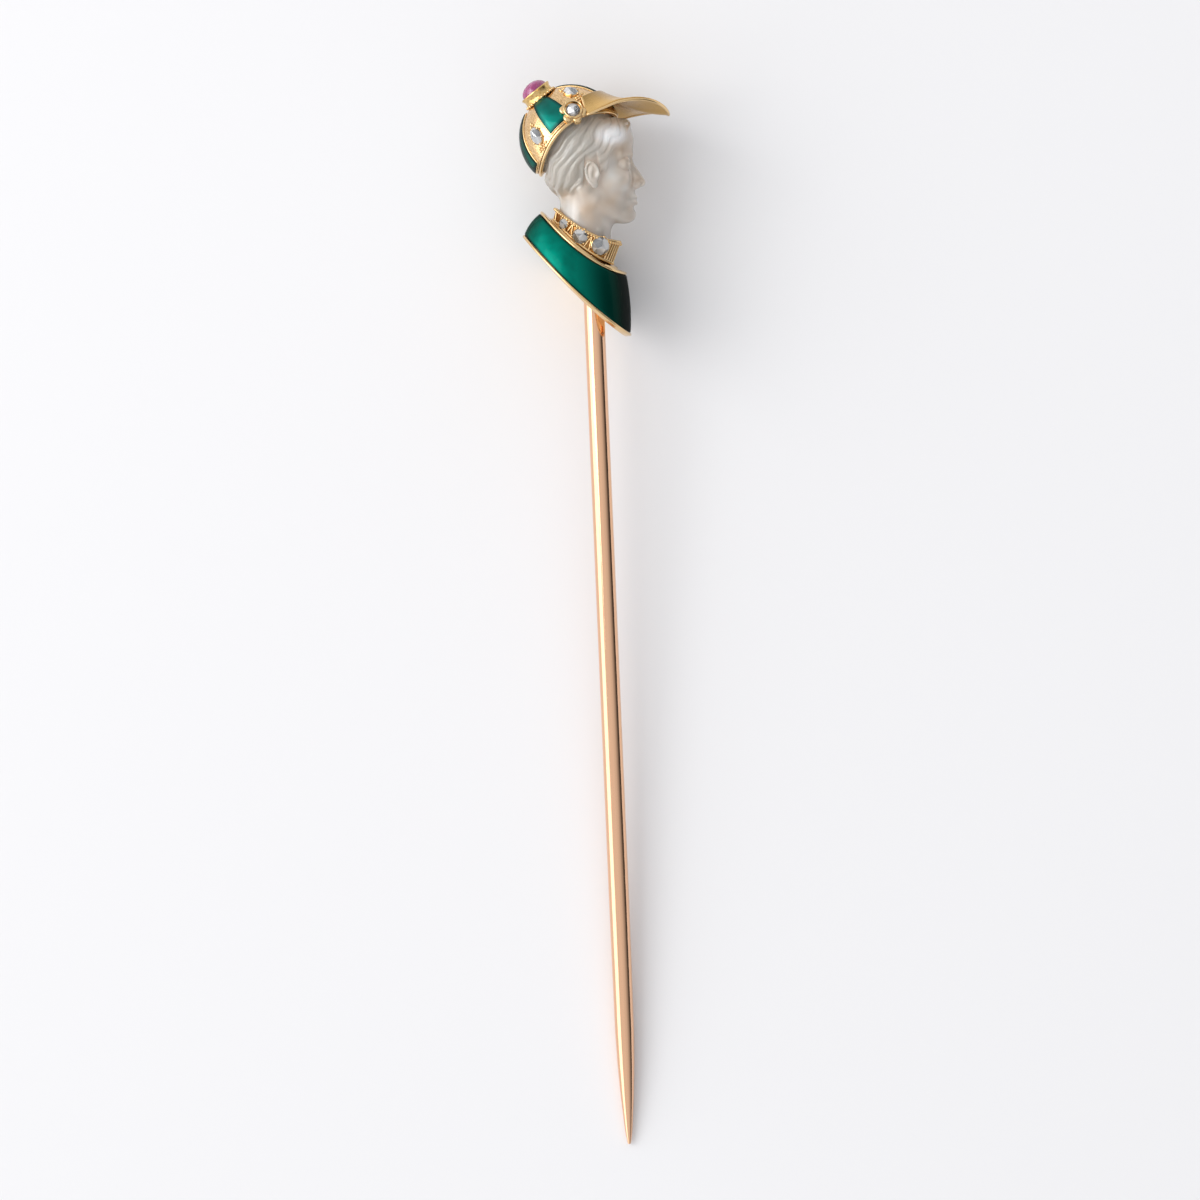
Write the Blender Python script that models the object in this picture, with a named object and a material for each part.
"""Hat pin: a tapered gold stem that carries a carved stone bust in an enamelled cap and cape.

The pin is drawn upright, with its point at the origin, +Z up the stem and +X the way the
head faces.  lay_down() then turns it onto its side, the way it lies on a table: the stem
runs along +Y, the head faces +X and +Z is up.  Lengths below are millimetres and angles
are degrees; add_solid() turns millimetres into Blender's metres.
"""
import math

import bmesh
import bpy
import numpy as np
from mathutils import Matrix, Vector

MM = 0.001
GAP = 0.03                      # clearance between neighbouring pieces

# Stem: a round wire that is drawn down to a point.  The bust sits a little forward on it.
BUST_FORWARD = 0.22
STEM_RADIUS = 0.67
STEM_TOP = 57.6
STEM_TAPER = ((0.05, 0.07), (0.3, 0.16), (1.0, 0.25), (3.2, 0.44), (5.4, 0.565), (7.5, 0.63), (16.0, 0.67))
STEM_SIDES = 20

# Cape: a band between two tilted loops, given by where they cross the middle plane (x, z).
CAPE_TOP_BACK = (-3.42, 61.75)
CAPE_TOP_FRONT = (1.88, 57.55)
CAPE_TOP_HALF_WIDTH = 3.25
CAPE_TOP_DIP = 0.65             # how far the loop sinks over the shoulders
CAPE_FOOT_BACK = (-4.5, 60.42)
CAPE_FOOT_FRONT = (2.0, 53.75)
CAPE_FOOT_HALF_WIDTH = 3.85
CAPE_FOOT_DIP = 0.4
CAPE_BULGE = 0.12
CAPE_WALL = 0.3
CAPE_STEPS = 36
ENAMEL_DEPTH = 0.12
RIM_HALF_HEIGHT = 0.1

BASE_PLATE_THICKNESS = 0.4
BASE_PLATE_RISE = 0.15          # above the foot loop's plane
NECK_PLATE_THICKNESS = 0.4
NECK_PLATE_RISE = 0.2           # above the top loop's plane
PEG_RADIUS = 0.5
PEG_FOOT = (-0.55, 58.6)
PEG_HEAD = (-0.35, 62.6)

# Collar: an open standing band, whose two ends are the wings at the throat.
COLLAR_FOOT_CENTRE = -0.5
COLLAR_TOP_CENTRE = -0.2
COLLAR_FOOT_RADII = (2.1, 2.1)
COLLAR_TOP_RADII = (2.2, 2.05)
COLLAR_FOOT_SWEEP = 141.0       # each way from the nape
COLLAR_TOP_SWEEP = 151.0
COLLAR_WALL = 0.22
COLLAR_DIP = 0.5                # how far the collar sinks over the shoulders
COLLAR_STEPS = 40
COLLAR_STONES = (               # diameter, x and share of the collar's height
    (0.72, -1.93, 0.45), (0.95, -0.92, 0.5), (1.14, 0.3, 0.6))

# Cap: an ellipsoid dome in its own frame, +Z through the button on top, +X over the brow.
CAP_CENTRE = (-1.24, 0.0, 66.8)
CAP_TILT_BACK = 40.0
CAP_LEAN = 11.0                 # to the wearer's left
CAP_RADII = (3.3, 2.95, 3.3)
CAP_WALL = 0.3
CAP_EYE = 8.0                   # polar angle of the hole under the bezel
CAP_RIM_MEAN = 94.0             # polar angle of the rim, by cosines of the azimuth
CAP_RIM_FRONT_BACK = 4.5
CAP_RIM_SIDES = 9.8
CAP_RIM_RADIUS = 0.13
ENAMEL_CELLS = (                # name, azimuth of the middle, half width in azimuth
    ("front", 0.0, 20.5), ("left", 95.0, 17.0), ("back", 180.0, 26.0), ("right", 265.0, 17.0))
CELL_TOP = 25.0                 # polar angle where the enamel starts

# Peak: its root follows the dome, its edge is a curve in the cap's frame, side to middle.
PEAK_ROOT_POLAR = 77.5           # at the middle; it climbs by PEAK_ROOT_CLIMB to the sides
PEAK_ROOT_CLIMB = 6.0
PEAK_ROOT_AZIMUTH = 54.0
PEAK_EDGE = ((1.33, 2.95, -0.14), (2.5, 3.0, -0.53), (3.5, 2.95, -0.9), (4.63, 2.5, -1.6),
             (5.33, 1.8, -2.28), (5.68, 0.9, -2.9), (5.72, 0.0, -3.3))
PEAK_SAG = 0.35                 # hollow between the root and the edge
PEAK_THICKNESS = 0.22
PEAK_CLEARANCE = 0.09

# Stones on the cap: azimuth, polar angle, length along the gore, width across it.
BUTTON_AZIMUTH = 76.0
BUTTON_POLAR = 78.5
BUTTON_DIAMETER = 0.97
COLLET_RADIUS = 0.66
COLLET_HEIGHT = 0.5
FRONT_GORE_STONE = (50.0, 54.5, 1.02, 0.84)
BACK_GORE_STONE = (129.0, 68.0, 1.25, 0.84)
BEZEL_RADIUS = 1.1
BEZEL_HEIGHT = 0.6
BEZEL_PITCH = 3.0               # how far forward and to the right of the pole it sits
BEZEL_LEAN = 8.0
RUBY_RADIUS = 0.92
RUBY_DOME = 0.66

FINISHES = {                    # linear colour, metallic, roughness
    "rose_gold": ((0.80, 0.47, 0.30), 1.0, 0.16),
    "yellow_gold": ((0.83, 0.55, 0.22), 1.0, 0.25),
    "satin_gold": ((0.60, 0.42, 0.18), 1.0, 0.38),
    "green_enamel": ((0.0, 0.13, 0.09), 0.0, 0.08),
    "moonstone": ((0.52, 0.49, 0.44), 0.0, 0.22),
    "ruby": ((0.42, 0.07, 0.20), 0.0, 0.08),
    "diamond": ((0.70, 0.70, 0.69), 0.0, 0.03),
}


def clear_scene():
    for thing in list(bpy.data.objects):
        bpy.data.objects.remove(thing, do_unlink=True)


def finish_material(name):
    material = bpy.data.materials.get(name)
    if material is None:
        colour, metallic, roughness = FINISHES[name]
        material = bpy.data.materials.new(name)
        material.use_nodes = True
        shader = material.node_tree.nodes["Principled BSDF"]
        shader.inputs["Base Color"].default_value = (*colour, 1.0)
        shader.inputs["Metallic"].default_value = metallic
        shader.inputs["Roughness"].default_value = roughness
    return material


def add_empty(name, parent=None, location=(0, 0, 0), turn=(0, 0, 0)):
    empty = bpy.data.objects.new(name, None)
    empty.location = Vector(location) * MM
    empty.rotation_euler = [math.radians(angle) for angle in turn]
    empty.parent = parent
    bpy.context.collection.objects.link(empty)
    return empty


def add_solid(name, bm, finish, parent, matrix=None, smooth_angle=35.0):
    """Turn a closed bmesh in millimetres into a named object, with its faces pointing out."""
    bmesh.ops.scale(bm, vec=(MM, MM, MM), verts=bm.verts)
    bmesh.ops.recalc_face_normals(bm, faces=bm.faces)
    mesh = bpy.data.meshes.new(name)
    bm.to_mesh(mesh)
    bm.free()
    mesh.shade_smooth()
    mesh.set_sharp_from_angle(angle=math.radians(smooth_angle))
    mesh.materials.append(finish_material(finish))
    solid = bpy.data.objects.new(name, mesh)
    bpy.context.collection.objects.link(solid)
    solid.parent = parent
    if matrix is not None:
        solid.matrix_basis = matrix
    return solid


def loft(sections, closed):
    """Skin a row of equal closed outlines; a row that is not closed gets two end caps."""
    bm = bmesh.new()
    rings = [[bm.verts.new(point) for point in section] for section in sections]
    pairs = list(zip(rings, rings[1:]))
    if closed:
        pairs.append((rings[-1], rings[0]))
    for ring, after in pairs:
        for i in range(len(ring)):
            j = (i + 1) % len(ring)
            bm.faces.new((ring[i], ring[j], after[j], after[i]))
    if not closed:
        bm.faces.new(rings[0][::-1])
        bm.faces.new(rings[-1])
    return bm


def turned(profile, sides):
    """Turn a profile of (radius, height) about Z; its first and last points lie on the axis."""
    bm = bmesh.new()
    foot = bm.verts.new((0, 0, profile[0][1]))
    head = bm.verts.new((0, 0, profile[-1][1]))
    rings = []
    for radius, height in profile[1:-1]:
        angles = [2 * math.pi * k / sides for k in range(sides)]
        rings.append([bm.verts.new((radius * math.cos(a), radius * math.sin(a), height)) for a in angles])
    for k in range(sides):
        j = (k + 1) % sides
        bm.faces.new((foot, rings[0][j], rings[0][k]))
        for ring, after in zip(rings, rings[1:]):
            bm.faces.new((ring[k], ring[j], after[j], after[k]))
        bm.faces.new((head, rings[-1][k], rings[-1][j]))
    return bm


def rose_cut(length, width, height):
    """Flat-backed rose cut: a domed crown of six star facets and eighteen around them."""
    bm = bmesh.new()
    girdle = 0.18
    levels = ((12, 1.0, 0.0, 0.0), (12, 0.98, girdle, 0.0), (6, 0.58, 0.78, 15.0))
    for count, radius, rise, turn in levels:
        for k in range(count):
            angle = math.radians(360.0 * k / count + turn)
            bm.verts.new((length / 2 * radius * math.cos(angle), width / 2 * radius * math.sin(angle), rise * height))
    bm.verts.new((0, 0, height))
    bmesh.ops.convex_hull(bm, input=bm.verts)
    return bm


def frame_at(origin, out, along):
    """Matrix that puts a piece's Z along out and its X near along, at origin in millimetres."""
    z_axis = Vector(out).normalized()
    y_axis = z_axis.cross(Vector(along)).normalized()
    x_axis = y_axis.cross(z_axis)
    matrix = Matrix((x_axis, y_axis, z_axis)).transposed().to_4x4()
    matrix.translation = Vector(origin) * MM
    return matrix


# ---- stem ----

def build_stem(parent):
    profile = [(0.0, 0.0)] + [(radius, height) for height, radius in STEM_TAPER]
    profile += [(STEM_RADIUS, STEM_TOP), (0.0, STEM_TOP)]
    add_solid("stem", turned(profile, STEM_SIDES), "rose_gold", parent)


# ---- cape ----

def loop_point(back, front, half_width, dip, angle):
    """Point of a tilted loop; angle 0 is the front and 90 the wearer's left shoulder."""
    along = (1 + math.cos(angle)) / 2
    side = math.sin(angle)
    return Vector((back[0] + (front[0] - back[0]) * along, half_width * side,
                   back[1] + (front[1] - back[1]) * along - dip * side * side))


def cape_point(angle, rise, lift, from_top=False):
    """Point on the cape: rise is the distance up from the foot loop (or from the top loop),
    and lift is the distance out from the band's outer face."""
    foot = loop_point(CAPE_FOOT_BACK, CAPE_FOOT_FRONT, CAPE_FOOT_HALF_WIDTH, CAPE_FOOT_DIP, angle)
    top = loop_point(CAPE_TOP_BACK, CAPE_TOP_FRONT, CAPE_TOP_HALF_WIDTH, CAPE_TOP_DIP, angle)
    up = top - foot
    height = up.length
    up.normalize()
    step = 0.01
    ahead = loop_point(CAPE_FOOT_BACK, CAPE_FOOT_FRONT, CAPE_FOOT_HALF_WIDTH, CAPE_FOOT_DIP, angle + step)
    out = (ahead - foot).cross(up).normalized()
    share = (rise + height if from_top else rise) / height
    bulge = CAPE_BULGE * 4 * share * (1 - share) if 0 < share < 1 else 0.0
    return foot + up * (share * height) + out * (lift + bulge)


def cape_angles():
    return [2 * math.pi * k / CAPE_STEPS for k in range(CAPE_STEPS)]


def cape_sheet(angle, inner, outer, inset, rows=4):
    """Outline across the band at one angle, between two lifts, inset from both loops."""
    foot = cape_point(angle, 0, 0)
    height = (cape_point(angle, 0, 0, from_top=True) - foot).length
    rises = [inset + (height - 2 * inset) * k / (rows - 1) for k in range(rows)]
    return ([cape_point(angle, rise, inner) for rise in rises]
            + [cape_point(angle, rise, outer) for rise in reversed(rises)])


def rim_outline(angle, from_top):
    """Rounded outline of a rim, just beyond the band's edge."""
    outer = ENAMEL_DEPTH + 0.04
    inner = -CAPE_WALL
    half = RIM_HALF_HEIGHT
    away = half + GAP if from_top else -half - GAP
    corner = 0.05
    outline = ((inner, half - corner), (inner + corner, half), (outer - corner, half), (outer, half - corner),
               (outer, corner - half), (outer - corner, -half), (inner + corner, -half), (inner, corner - half))
    return [cape_point(angle, away + rise, lift, from_top) for lift, rise in outline]


def plane_height(back, front, x):
    return back[1] + (front[1] - back[1]) * (x - back[0]) / (front[0] - back[0])


def build_cape(parent):
    band = [cape_sheet(angle, -CAPE_WALL, 0.0, 0.0) for angle in cape_angles()]
    add_solid("shoulder_band", loft(band, True), "yellow_gold", parent)
    enamel = [cape_sheet(angle, GAP, ENAMEL_DEPTH, 0.02) for angle in cape_angles()]
    add_solid("shoulder_enamel", loft(enamel, True), "green_enamel", parent)
    for name, from_top in (("shoulder_bottom_rim", False), ("shoulder_top_rim", True)):
        outlines = [rim_outline(angle, from_top) for angle in cape_angles()]
        add_solid(name, loft(outlines, True), "yellow_gold", parent, smooth_angle=50)


def build_base_plate(parent):
    """Flat oval plate inside the foot of the cape, with the hole that the stem passes."""
    hole = STEM_RADIUS + GAP
    sections = []
    for angle in cape_angles():
        highest = BASE_PLATE_RISE + BASE_PLATE_THICKNESS + CAPE_FOOT_DIP * math.sin(angle) ** 2
        edge = cape_point(angle, highest, -CAPE_WALL - 0.06)
        inner = Vector((hole * math.cos(angle) - BUST_FORWARD, hole * math.sin(angle), 0))
        section = []
        for rise in (BASE_PLATE_RISE, BASE_PLATE_RISE + BASE_PLATE_THICKNESS):
            row = [Vector((p.x, p.y, plane_height(CAPE_FOOT_BACK, CAPE_FOOT_FRONT, p.x) + rise))
                   for p in (inner, edge)]
            section += row if rise == BASE_PLATE_RISE else row[::-1]
        sections.append(section)
    add_solid("base_plate", loft(sections, True), "yellow_gold", parent, smooth_angle=20)


def build_neckline_plate(parent):
    """Plate that closes the top of the cape; its edge follows the dip of the shoulders."""
    foot, head = Vector((PEG_FOOT[0], 0, PEG_FOOT[1])), Vector((PEG_HEAD[0], 0, PEG_HEAD[1]))
    lean = (head.x - foot.x) / (head.z - foot.z)
    hole = PEG_RADIUS + GAP
    sections = []
    for angle in cape_angles():
        edge = cape_point(angle, 0.0, -CAPE_WALL - 0.12, from_top=True)
        middle = Vector((-0.77, 0, 0))
        shoulder = middle + (Vector((edge.x, edge.y, 0)) - middle) * 0.6
        dip = CAPE_TOP_DIP * math.sin(angle) ** 2
        section = []
        for below in (0.0, NECK_PLATE_THICKNESS):
            row = []
            centre_x = foot.x + lean * (plane_height(CAPE_TOP_BACK, CAPE_TOP_FRONT, foot.x) - foot.z)
            inner = Vector((centre_x + hole * math.cos(angle), hole * math.sin(angle), 0))
            for point, sink in ((inner, 0.0), (shoulder, 0.8 * dip), (edge, dip)):
                level = plane_height(CAPE_TOP_BACK, CAPE_TOP_FRONT, point.x) + NECK_PLATE_RISE
                row.append(Vector((point.x, point.y, level - sink - below)))
            section += row if below else row[::-1]
        sections.append(section)
    add_solid("neckline_plate", loft(sections, True), "yellow_gold", parent)


def build_peg(parent):
    """Upright peg that the stone head is cemented on, through the neckline plate."""
    foot, head = Vector((PEG_FOOT[0], 0, PEG_FOOT[1])), Vector((PEG_HEAD[0], 0, PEG_HEAD[1]))
    length = (head - foot).length
    profile = ((0, 0), (PEG_RADIUS, 0), (PEG_RADIUS, length - 0.1), (PEG_RADIUS - 0.1, length), (0, length))
    add_solid("neck_peg", turned(profile, 16), "yellow_gold", parent, frame_at(foot, head - foot, (1, 0, 0)))


# ---- collar ----

def collar_point(share, rise, lift):
    """Point on the collar: share -1..1 runs from the near wing round the nape to the far one."""
    points = []
    for centre, radii, sweep, back, front in (
            (COLLAR_FOOT_CENTRE, COLLAR_FOOT_RADII, COLLAR_FOOT_SWEEP, (-2.6, 61.36), (1.14, 58.48)),
            (COLLAR_TOP_CENTRE, COLLAR_TOP_RADII, COLLAR_TOP_SWEEP, (-2.4, 62.1), (1.73, 59.9))):
        angle = math.radians(180 + share * sweep)
        x = centre + (radii[0] + lift) * math.cos(angle)
        y = (radii[1] + lift) * math.sin(angle)
        level = plane_height(back, front, x) - COLLAR_DIP * math.sin(angle) ** 2
        points.append(Vector((x, y, level)))
    return points[0].lerp(points[1], rise)


def collar_share_at(x):
    """Share of the near wing whose mid-height lies at x."""
    low, high = 0.0, 1.0
    for _ in range(30):
        share = (low + high) / 2
        if collar_point(share, 0.5, 0.0).x < x:
            low = share
        else:
            high = share
    return low


def build_collar(parent):
    sections = []
    for k in range(COLLAR_STEPS + 1):
        share = -1 + 2 * k / COLLAR_STEPS
        rises = (0.0, 0.5, 1.0)
        sections.append([collar_point(share, rise, -COLLAR_WALL) for rise in rises]
                        + [collar_point(share, rise, 0.0) for rise in reversed(rises)])
    add_solid("collar_band", loft(sections, False), "yellow_gold", parent)
    for side, sign in (("right", 1), ("left", -1)):
        for number, (diameter, x, rise) in enumerate(COLLAR_STONES, start=1):
            share = sign * collar_share_at(x)
            seat = collar_point(share, rise, 0.0)
            along = collar_point(share + 0.01, rise, 0.0) - collar_point(share - 0.01, rise, 0.0)
            up = collar_point(share, 1.0, 0.0) - collar_point(share, 0.0, 0.0)
            out = along.cross(up).normalized()
            if out.y * seat.y < 0:
                out.negate()
            sagitta = (diameter / 2) ** 2 / (2 * COLLAR_FOOT_RADII[0])
            matrix = frame_at(seat + out * (sagitta * 0.3 + GAP), out, along)
            name = f"collar_diamond_{side}_{number}"
            add_solid(name, rose_cut(diameter, diameter, diameter * 0.34), "diamond", parent, matrix, 1)


# ---- cap ----

def cap_point(azimuth, polar, lift):
    """Point on the dome in the cap's frame, lifted off the outer face by lift."""
    a, p = math.radians(azimuth), math.radians(polar)
    rx, ry, rz = (radius + lift for radius in CAP_RADII)
    return Vector((rx * math.sin(p) * math.cos(a), ry * math.sin(p) * math.sin(a), rz * math.cos(p)))


def cap_normal(azimuth, polar):
    point = cap_point(azimuth, polar, 0.0)
    return Vector([point[i] / CAP_RADII[i] ** 2 for i in range(3)]).normalized()


def cap_rim_polar(azimuth):
    a = math.radians(azimuth)
    return CAP_RIM_MEAN + CAP_RIM_FRONT_BACK * math.cos(a) + CAP_RIM_SIDES * math.cos(2 * a)


def arc_angle(length):
    """Polar angle in degrees that a short length spans on the dome."""
    return math.degrees(length / CAP_RADII[0])


def cell_foot(azimuth):
    return cap_rim_polar(azimuth) - arc_angle(CAP_RIM_RADIUS + 0.16)


def cap_azimuths():
    """Azimuths of the dome's sections, with a close pair at each wall of an enamel cell, and
    whether each section crosses the recess of a cell."""
    row = []
    for i, (_, centre, half) in enumerate(ENAMEL_CELLS):
        row.append((centre - half - 0.3, False))
        row += [(centre + half * k / 2, True) for k in (-2, -1, 0, 1, 2)]
        row.append((centre + half + 0.3, False))
        after = ENAMEL_CELLS[(i + 1) % 4]
        start, end = centre + half, after[1] - after[2] + (360 if i == 3 else 0)
        row += [(start + (end - start) * k / 4, False) for k in (1, 2, 3)]
    return row


def build_crown(parent):
    sections = []
    for azimuth, in_cell in cap_azimuths():
        edge = cap_rim_polar(azimuth) - arc_angle(CAP_RIM_RADIUS + GAP)
        foot = cell_foot(azimuth)
        sink = -ENAMEL_DEPTH - GAP if in_cell else 0.0
        outer = [(CAP_EYE, 0.0), (CELL_TOP, 0.0), (CELL_TOP + 0.3, sink)]
        outer += [(CELL_TOP + 0.3 + (foot - CELL_TOP - 0.6) * k / 5, sink) for k in range(1, 6)]
        outer += [(foot, 0.0), (edge, 0.0)]
        inner = [(CAP_EYE + (edge - CAP_EYE) * k / 5, -CAP_WALL) for k in range(5, -1, -1)]
        sections.append([cap_point(azimuth, polar, lift) for polar, lift in outer + inner])
    add_solid("cap_crown", loft(sections, True), "yellow_gold", parent)


def build_cap_rim(parent):
    sections = []
    for k in range(40):
        azimuth = 360 * k / 40
        polar = cap_rim_polar(azimuth)
        section = []
        for turn in range(0, 360, 45):
            wave = math.radians(turn + 22.5)
            section.append(cap_point(azimuth, polar + arc_angle(CAP_RIM_RADIUS * math.cos(wave)),
                                     CAP_RIM_RADIUS * math.sin(wave) - 0.08))
        sections.append(section)
    add_solid("cap_rim", loft(sections, True), "yellow_gold", parent, smooth_angle=60)


def build_gores(parent):
    for name, centre, half in ENAMEL_CELLS:
        half -= 0.6
        sections = []
        for k in range(6):
            azimuth = centre + half * (2 * k / 5 - 1)
            foot = cell_foot(azimuth) - 1.0
            polars = [CELL_TOP + 1.0 + (foot - CELL_TOP - 1.0) * row / 7 for row in range(8)]
            sections.append([cap_point(azimuth, polar, -ENAMEL_DEPTH) for polar in polars]
                            + [cap_point(azimuth, polar, 0.0) for polar in reversed(polars)])
        add_solid(f"enamel_gore_{name}", loft(sections, False), "green_enamel", parent)


def build_gore_stones(parent):
    for place, (azimuth, polar, length, width) in (("front", FRONT_GORE_STONE), ("back", BACK_GORE_STONE)):
        for side, sign in (("left", 1), ("right", -1)):
            seat = cap_point(sign * azimuth, polar, 0.0)
            out = cap_normal(sign * azimuth, polar)
            along = cap_point(sign * azimuth, polar + 1, 0.0) - cap_point(sign * azimuth, polar - 1, 0.0)
            matrix = frame_at(seat + out * GAP, out, along)
            name = f"gore_diamond_{place}_{side}"
            add_solid(name, rose_cut(length, width, width * 0.38), "diamond", parent, matrix, 1)


def button_frame(sign, lift):
    out = cap_normal(sign * BUTTON_AZIMUTH, BUTTON_POLAR)
    seat = cap_point(sign * BUTTON_AZIMUTH, BUTTON_POLAR, 0.0) + out * lift
    return frame_at(seat, out, (1, 0, 0))


def build_buttons(parent):
    """The two round stones in closed collets that cover the ends of the peak."""
    wall = 0.14
    floor = 0.2
    profile = ((0, 0), (COLLET_RADIUS, 0), (COLLET_RADIUS, COLLET_HEIGHT - 0.06),
               (COLLET_RADIUS - 0.06, COLLET_HEIGHT), (COLLET_RADIUS - wall, COLLET_HEIGHT - 0.06),
               (COLLET_RADIUS - wall, floor), (0, floor))
    for side, sign in (("left", 1), ("right", -1)):
        add_solid(f"button_collet_{side}", turned(profile, 24), "yellow_gold", parent, button_frame(sign, 0.1))
        stone = rose_cut(BUTTON_DIAMETER, BUTTON_DIAMETER, 0.4)
        add_solid(f"button_diamond_{side}", stone, "diamond", parent, button_frame(sign, 0.1 + floor + GAP), 1)


def build_ruby(parent):
    """Cabochon in a plain bezel, whose foot is hollowed to sit on the dome."""
    dome = CAP_RADII[2] + GAP
    seat = [(radius, math.sqrt(dome ** 2 - radius ** 2)) for radius in (0.0, BEZEL_RADIUS / 2, BEZEL_RADIUS)]
    top = dome + BEZEL_HEIGHT - 0.1
    floor = dome + 0.15
    pocket = RUBY_RADIUS + GAP
    profile = seat + [(BEZEL_RADIUS, top - 0.08), (BEZEL_RADIUS - 0.06, top), (pocket, top - 0.04),
                      (pocket, floor), (0.0, floor)]
    add_solid("ruby_bezel", turned(profile, 32), "yellow_gold", parent)
    girdle = top - 0.06
    stone = [(0.0, floor + GAP), (RUBY_RADIUS, floor + GAP), (RUBY_RADIUS, girdle)]
    for k in range(1, 6):
        angle = math.radians(90 * k / 6)
        stone.append((RUBY_RADIUS * math.cos(angle), girdle + RUBY_DOME * math.sin(angle)))
    stone.append((0.0, girdle + RUBY_DOME))
    add_solid("ruby_cabochon", turned(stone, 32), "ruby", parent)


def peak_edge_point(share):
    """Edge of the peak by a smooth curve through PEAK_EDGE; share 0 is the side, 1 the middle."""
    points = [Vector(point) for point in PEAK_EDGE]
    last = points[-2].copy()
    last.y = -last.y
    points = [points[0] * 2 - points[1]] + points + [last]
    place = share * (len(PEAK_EDGE) - 1)
    i = min(int(place), len(PEAK_EDGE) - 2)
    t = place - i
    a, b, c, d = points[i:i + 4]
    return (b * 2 + (c - a) * t + (a * 2 - b * 5 + c * 4 - d) * t * t + (b * 3 - a - c * 3 + d) * t ** 3) / 2


def peak_point(share, reach):
    """Underside of the peak: share -1..1 from the right side to the left, reach 0 root..1 edge."""
    side = 1 - abs(share)
    sign = 1 if share >= 0 else -1
    root_polar = PEAK_ROOT_POLAR - PEAK_ROOT_CLIMB * share * share
    root = cap_point(PEAK_ROOT_AZIMUTH * abs(share), root_polar, PEAK_CLEARANCE)
    point = root.lerp(peak_edge_point(side), reach)
    sag = PEAK_SAG * (1 - share * share) * 4 * reach * (1 - reach)
    point -= Vector((0.65, 0, 0.75)) * sag
    size = math.sqrt(sum((point[i] / (CAP_RADII[i] + PEAK_CLEARANCE)) ** 2 for i in range(3)))
    if size < 1:
        point /= size
    return Vector((point.x, sign * point.y, point.z))


def build_peak(parent):
    columns, rows = 28, 5
    low = np.array([[peak_point(-1 + 2 * i / columns, j / rows) for j in range(rows + 1)]
                    for i in range(columns + 1)])
    along, across = np.gradient(low, axis=0), np.gradient(low, axis=1)
    out = np.cross(across, along)
    out /= np.linalg.norm(out, axis=2, keepdims=True)
    if out[columns // 2, 0, 0] < 0:
        out = -out
    high = low + out * PEAK_THICKNESS
    middle = low + out * (PEAK_THICKNESS / 2)
    edge = middle[:, -1] + (low[:, -1] - low[:, -2]) * 0.12
    sections = [list(low[i]) + [edge[i]] + list(high[i][::-1]) for i in range(columns + 1)]
    bm = loft([[Vector(point) for point in section] for section in sections], False)
    peak = add_solid("peak", bm, "satin_gold", parent)
    for side, sign in (("left", 1), ("right", -1)):
        reach = COLLET_RADIUS + 0.06
        profile = ((0, -1.0), (reach, -1.0), (reach, 1.5), (0, 1.5))
        cutter = add_solid(f"button_clearance_{side}", turned(profile, 24), "satin_gold", parent,
                           button_frame(sign, 0.0))
        cutter.hide_render = True
        cutter.display_type = "WIRE"
        cut = peak.modifiers.new(f"clear_{side}_button", "BOOLEAN")
        cut.operation = "DIFFERENCE"
        cut.solver = "EXACT"
        cut.object = cutter


# ---- stone head ----

HEAD_CENTRE = np.array((-0.1, 0.0, 64.9))       # rays that shape the head start here
HEAD_BALLS = (                  # x, half spacing in y, z, and three radii
    (-0.55, 0.0, 66.1, 2.95, 2.52, 2.75),       # skull
    (-1.5, 0.0, 64.5, 1.75, 2.3, 2.1),          # hair over the nape
    (1.15, 0.0, 64.3, 2.0, 1.9, 3.0),           # face
    (1.9, 0.0, 66.6, 1.15, 1.6, 1.1),           # brow
    (2.2, 0.0, 61.6, 0.75, 0.7, 0.7),           # chin
    (0.5, 1.25, 62.4, 1.2, 0.6, 0.8),           # jaw
    (3.05, 0.0, 64.3, 0.5, 0.34, 0.62),         # nose
    (2.75, 0.0, 62.75, 0.42, 0.6, 0.4),         # mouth
)
NECK = ((-0.85, 58.5), (-0.25, 63.0), 1.62)     # foot and head of its axis, and radius


def head_distance(points):
    """Rough distance to the outside of the head, in the bust's upright frame."""
    distance = None
    for x, spread, z, rx, ry, rz in HEAD_BALLS:
        radii = np.array((rx, ry, rz))
        for y in {spread, -spread}:
            scaled = np.linalg.norm((points - (x, y, z)) / radii, axis=-1)
            ball = (scaled - 1) * radii.min()
            distance = ball if distance is None else smooth_union(distance, ball, 0.35)
    foot, head = (np.array((x, 0.0, z)) for x, z in NECK[:2])
    axis = head - foot
    along = np.clip(((points - foot) @ axis) / (axis @ axis), 0, 1)
    neck = np.linalg.norm(points - foot - along[..., None] * axis, axis=-1) - NECK[2]
    return smooth_union(distance, neck, 0.5)


def smooth_union(a, b, width):
    share = np.clip(0.5 + 0.5 * (b - a) / width, 0, 1)
    return b + (a - b) * share - width * share * (1 - share)


def room_in_cap(points, cap_from_bust):
    """Positive where the stone would touch the cap: above its rim it stays inside the dome."""
    local = points @ cap_from_bust[:3, :3].T + cap_from_bust[:3, 3]
    inner = np.array(CAP_RADII) - CAP_WALL - 0.06
    size = np.linalg.norm(local / inner, axis=-1)
    polar = np.degrees(np.arccos(np.clip(local[..., 2] / inner[2] / np.maximum(size, 1e-6), -1, 1)))
    azimuth = np.arctan2(local[..., 1], local[..., 0])
    rim = CAP_RIM_MEAN + CAP_RIM_FRONT_BACK * np.cos(azimuth) + CAP_RIM_SIDES * np.cos(2 * azimuth)
    flare = np.clip((polar - rim - 5.0) / 9.0, 0, 3)
    return (size - 1 - flare) * inner.min()


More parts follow.
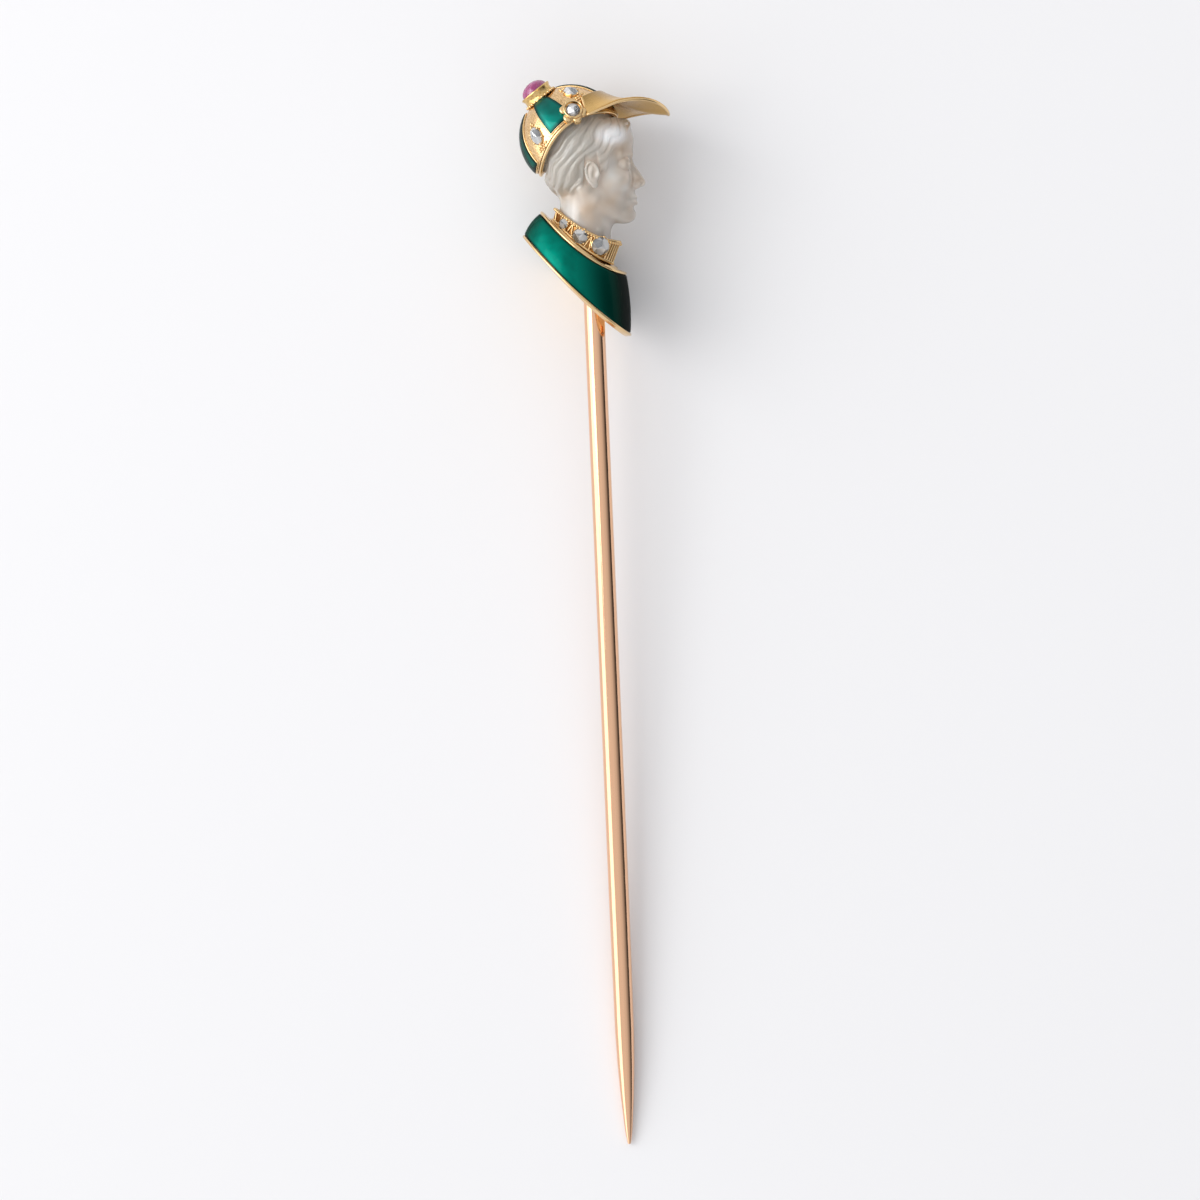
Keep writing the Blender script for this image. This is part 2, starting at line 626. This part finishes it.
def build_head(parent, cap_from_bust):
    """Ball whose points are moved in along rays to the surface of the head, then cut off flat
    above the neckline plate and bored for the peg."""
    bm = bmesh.new()
    bmesh.ops.create_uvsphere(bm, u_segments=44, v_segments=28, radius=1.0)
    rays = np.array([vert.co.normalized() for vert in bm.verts])
    reach = np.full(len(rays), 9.0)
    for _ in range(80):
        points = HEAD_CENTRE + rays * reach[:, None]
        distance = np.maximum(head_distance(points), room_in_cap(points, cap_from_bust))
        reach -= 0.5 * np.clip(distance, -0.3, 0.6)
    for vert, place in zip(bm.verts, HEAD_CENTRE + rays * reach[:, None]):
        vert.co = place
    slope = (CAPE_TOP_FRONT[1] - CAPE_TOP_BACK[1]) / (CAPE_TOP_FRONT[0] - CAPE_TOP_BACK[0])
    level = plane_height(CAPE_TOP_BACK, CAPE_TOP_FRONT, 0.0) + NECK_PLATE_RISE + GAP
    cut = bmesh.ops.bisect_plane(bm, geom=bm.verts[:] + bm.edges[:] + bm.faces[:], plane_co=(0, 0, level),
                                 plane_no=(-slope, 0, 1), clear_inner=True)
    bmesh.ops.holes_fill(bm, edges=[e for e in cut["geom_cut"] if isinstance(e, bmesh.types.BMEdge)])
    head = add_solid("moonstone_head", bm, "moonstone", parent, smooth_angle=60)
    foot, top = Vector((PEG_FOOT[0], 0, PEG_FOOT[1])), Vector((PEG_HEAD[0], 0, PEG_HEAD[1]))
    length = (top - foot).length + GAP
    profile = ((0, -1.0), (PEG_RADIUS + GAP, -1.0), (PEG_RADIUS + GAP, length), (0, length))
    drill = add_solid("peg_drill", turned(profile, 16), "moonstone", parent, frame_at(foot, top - foot, (1, 0, 0)))
    drill.hide_render = True
    drill.display_type = "WIRE"
    bore = head.modifiers.new("peg_hole", "BOOLEAN")
    bore.operation = "DIFFERENCE"
    bore.solver = "EXACT"
    bore.object = drill


# ---- lying on the table ----

def design_points():
    """All corners of the solids, in metres, before the pin is laid down."""
    bpy.context.view_layer.update()
    rows = []
    for thing in bpy.context.scene.objects:
        if thing.type == "MESH" and not thing.hide_render:
            rows += [thing.matrix_world @ vert.co for vert in thing.data.vertices]
    return np.array(rows)


def lay_down(pin):
    """Turn the pin onto its left side so that its point and its head both touch the table, and
    put the origin under the middle of its box."""
    points = design_points()
    at_point = points[:, 2] < 10 * MM
    low, high = 0.0, math.radians(12)
    for _ in range(40):
        tilt = (low + high) / 2
        height = -points[:, 1] * math.cos(tilt) + points[:, 2] * math.sin(tilt)
        if height[~at_point].min() < height[at_point].min():
            low = tilt
        else:
            high = tilt
    pin.rotation_euler.x = low - math.pi / 2
    laid = design_points()
    lowest, highest = laid.min(axis=0), laid.max(axis=0)
    pin.location = (-(lowest[0] + highest[0]) / 2, -(lowest[1] + highest[1]) / 2, -lowest[2])
    bpy.context.view_layer.update()


def main():
    clear_scene()
    pin = add_empty("hat_pin")
    bust = add_empty("bust", pin, (BUST_FORWARD, 0, 0))
    cap_lean = add_empty("cap_lean", bust, CAP_CENTRE, (-CAP_LEAN, 0, 0))
    cap = add_empty("cap_frame", cap_lean, turn=(0, -CAP_TILT_BACK, 0))
    build_stem(pin)
    build_cape(bust)
    build_base_plate(bust)
    build_neckline_plate(bust)
    build_peg(bust)
    build_collar(bust)
    build_crown(cap)
    build_cap_rim(cap)
    build_gores(cap)
    build_gore_stones(cap)
    build_peak(cap)
    build_buttons(cap)
    build_ruby(add_empty("bezel_frame", cap, turn=(BEZEL_LEAN, BEZEL_PITCH, 0)))
    bpy.context.view_layer.update()
    cap_from_bust = np.array(cap.matrix_world.inverted() @ bust.matrix_world)
    cap_from_bust[:3, 3] /= MM
    build_head(bust, cap_from_bust)
    lay_down(pin)


main()
